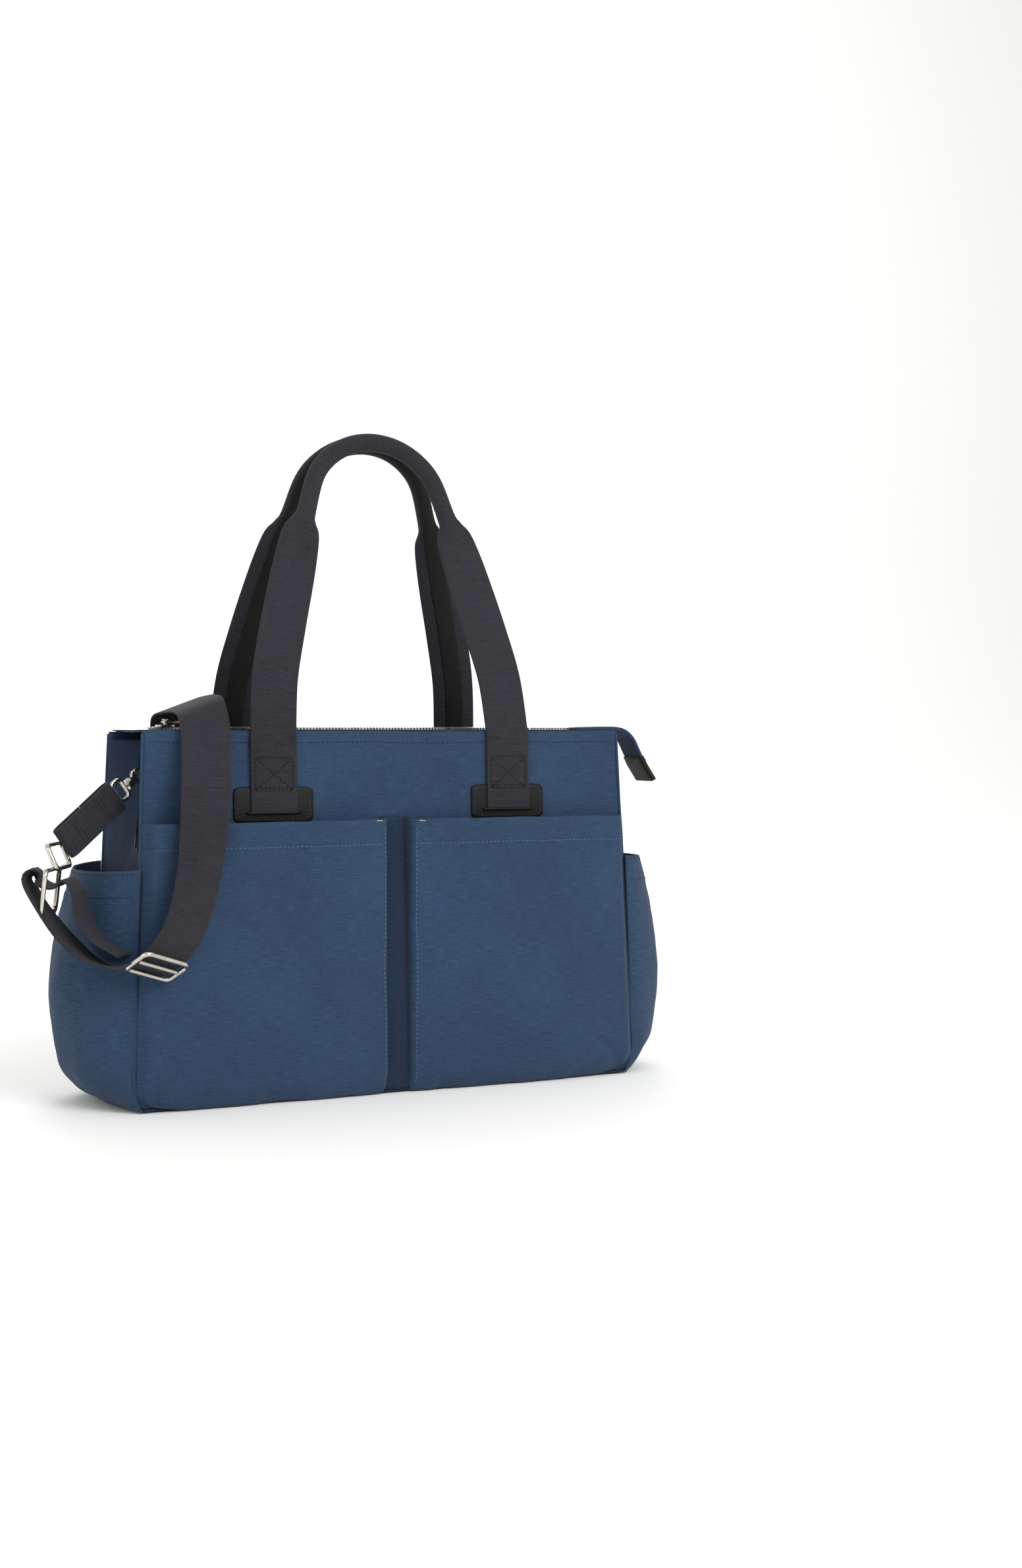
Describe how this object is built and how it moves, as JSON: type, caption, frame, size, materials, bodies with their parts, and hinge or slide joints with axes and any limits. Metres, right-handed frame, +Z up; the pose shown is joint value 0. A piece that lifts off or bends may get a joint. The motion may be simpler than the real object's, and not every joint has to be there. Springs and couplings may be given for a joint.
{
  "type": "diaper bag",
  "caption": "Soft tote-shaped diaper bag with webbing handles, zipped top, outside pockets and a clip-on shoulder strap.",
  "frame": {"origin": "centre of the base, on the surface that the bag stands on", "axes": "+Z up, +X to the right seen from the front, the front pockets face -Y"},
  "size_m": [0.5688, 0.1966, 0.5371],
  "materials": {
    "navy_canvas": "cotton twill canvas, navy blue, soft matt",
    "cream_lining": "smooth cream lining cloth",
    "charcoal_webbing": "ribbed cotton webbing, charcoal",
    "black_leather": "pebbled black leather",
    "nickel_hardware": "polished nickel plate on zinc",
    "nickel_teeth": "bright metal zip teeth",
    "zip_tape": "herringbone zip tape, navy",
    "nylon_coil": "dark navy nylon coil",
    "painted_slider": "dark painted zinc",
    "pull_rubber": "black moulded pull",
    "base_board": "black polypropylene sheet"
  },
  "bodies": {
    "bag": {"back_handle_anchors": "charcoal_webbing", "back_panel": "navy_canvas", "back_patch_left": "black_leather", "back_patch_right": "black_leather", "back_top_facing": "navy_canvas", "base_board": "base_board", "base_panel": "navy_canvas", "front_handle_anchors": "charcoal_webbing", "front_panel": "navy_canvas", "front_patch_left": "black_leather", "front_patch_right": "black_leather", "front_pleat_strip": "navy_canvas", "front_pocket_left": "navy_canvas", "front_pocket_right": "navy_canvas", "front_top_facing": "navy_canvas", "inner_slip_pocket": "cream_lining", "left_d_ring": "nickel_hardware", "left_d_ring_tab": "charcoal_webbing", "left_gusset": "navy_canvas", "left_snap_hook": "nickel_hardware", "left_swivel_eye": "nickel_hardware", "lining_back": "cream_lining", "lining_base": "cream_lining", "lining_front": "cream_lining", "lining_left": "cream_lining", "lining_right": "cream_lining", "lower_oval_ring": "nickel_hardware", "right_d_ring": "nickel_hardware", "right_d_ring_tab": "charcoal_webbing", "right_gusset": "navy_canvas", "right_snap_hook": "nickel_hardware", "right_swivel_eye": "nickel_hardware", "short_strap": "charcoal_webbing", "shoulder_strap_webbing": "charcoal_webbing", "side_pocket_left": "navy_canvas", "side_pocket_right": "navy_canvas", "side_zip_coil": "nylon_coil", "side_zip_tape": "zip_tape", "strap_adjuster_bar": "nickel_hardware", "strap_adjuster_frame": "nickel_hardware", "upper_oval_ring": "nickel_hardware", "zip_end_left": "zip_tape", "zip_end_right": "zip_tape", "zip_tail": "zip_tape", "zip_tail_tab": "black_leather"},
    "front_handle": {"front_handle_webbing": "charcoal_webbing", "front_grip_core": "black_leather"},
    "back_handle": {"back_handle_webbing": "charcoal_webbing", "back_grip_core": "black_leather"},
    "front_flap": {"front_closure_strip": "navy_canvas", "front_zip_teeth": "nickel_teeth"},
    "back_flap": {"back_closure_strip": "navy_canvas", "back_zip_teeth": "nickel_teeth"},
    "zip_slider": {"zip_slider": "nickel_hardware"},
    "zip_pull": {"zip_pull_link": "nickel_hardware", "zip_pull_tab": "pull_rubber"},
    "left_gate": {"left_hook_gate": "nickel_hardware"},
    "right_gate": {"right_hook_gate": "nickel_hardware"},
    "side_slider": {"side_zip_slider": "painted_slider"}
  },
  "joints": [
    {"name": "front_handle_swing", "type": "hinge", "parent": "bag", "child": "front_handle", "pos_m": [0, -0.0564, 0.2754], "axis": [1, 0, 0], "range_deg": [0, 150]},
    {"name": "back_handle_swing", "type": "hinge", "parent": "bag", "child": "back_handle", "pos_m": [0, 0.05664, 0.2754], "axis": [-1, 0, 0], "range_deg": [0, 120]},
    {"name": "front_flap_open", "type": "hinge", "parent": "bag", "child": "front_flap", "pos_m": [0, -0.046, 0.2942], "axis": [-1, 0, 0], "range_deg": [0, 88]},
    {"name": "back_flap_open", "type": "hinge", "parent": "bag", "child": "back_flap", "pos_m": [0, 0.046, 0.2942], "axis": [1, 0, 0], "range_deg": [0, 88]},
    {"name": "zip_slide", "type": "slide", "parent": "bag", "child": "zip_slider", "axis": [1, 0, 0], "range_m": [0, 0.348]},
    {"name": "zip_pull_swing", "type": "hinge", "parent": "zip_slider", "child": "zip_pull", "pos_m": [-0.174, 0, 0.2994], "axis": [0, 0, 1], "range_deg": [-60, 60]},
    {"name": "left_gate_open", "type": "hinge", "parent": "bag", "child": "left_gate", "pos_m": [-0.20251, -0.0165, 0.26197], "axis": [-0.1887, 0.9732, -0.1311], "range_deg": [0, 20], "stiffness_Nm_per_rad": 0.02},
    {"name": "right_gate_open", "type": "hinge", "parent": "bag", "child": "right_gate", "pos_m": [0.20251, 0.0165, 0.26197], "axis": [0.1887, -0.9732, -0.1311], "range_deg": [0, 20], "stiffness_Nm_per_rad": 0.02},
    {"name": "side_zip_slide", "type": "slide", "parent": "bag", "child": "side_slider", "axis": [-0.1337, -0.0249, -0.9907], "range_m": [0, 0.0575]}
  ],
  "couplings": [
    {"joint": "back_flap_open", "follows": "front_flap_open", "ratio": 1}
  ]
}
